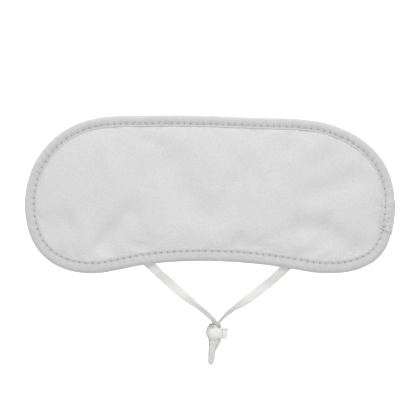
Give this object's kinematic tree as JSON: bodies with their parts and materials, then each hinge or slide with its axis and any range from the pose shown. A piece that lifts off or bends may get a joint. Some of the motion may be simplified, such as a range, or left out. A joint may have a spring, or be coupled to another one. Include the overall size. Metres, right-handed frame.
{
  "type": "sleep eye mask",
  "caption": "Padded cloth sleep mask with bound edge, nose notch and an elastic strap tied in one knot behind.",
  "frame": {"origin": "on the surface the mask lies on, under the middle of its outline", "axes": "+X along the mask's length, +Y towards its forehead edge, +Z out of its front face (away from the wearer)"},
  "size_m": [0.2001, 0.1343, 0.0127],
  "materials": {
    "face_cloth": "matte",
    "foam": "matte",
    "blackout_cloth": "matte",
    "lining_cloth": "matte",
    "binding_tape": "matte",
    "thread": "satin",
    "elastic": "matte"
  },
  "bodies": {
    "mask": {"front_panel": "face_cloth", "foam_pad": "foam", "blackout_layer": "blackout_cloth", "back_lining": "lining_cloth", "edge_binding": "binding_tape", "front_stitches": "thread", "back_stitches": "thread", "lap_backtack": "thread", "strap_end_left": "elastic", "strap_end_right": "elastic"},
    "strap": {"strap_left": "elastic", "strap_right": "elastic", "strap_knot": "elastic", "strap_tail_long": "elastic", "strap_tail_short": "elastic"}
  },
  "joints": [
    {"name": "strap_swing", "type": "hinge", "parent": "mask", "child": "strap", "pos_m": [-0.0865, 0.01, 0.001], "axis": [0.9996, -0.0289, 0], "range_deg": [0, 180]}
  ]
}
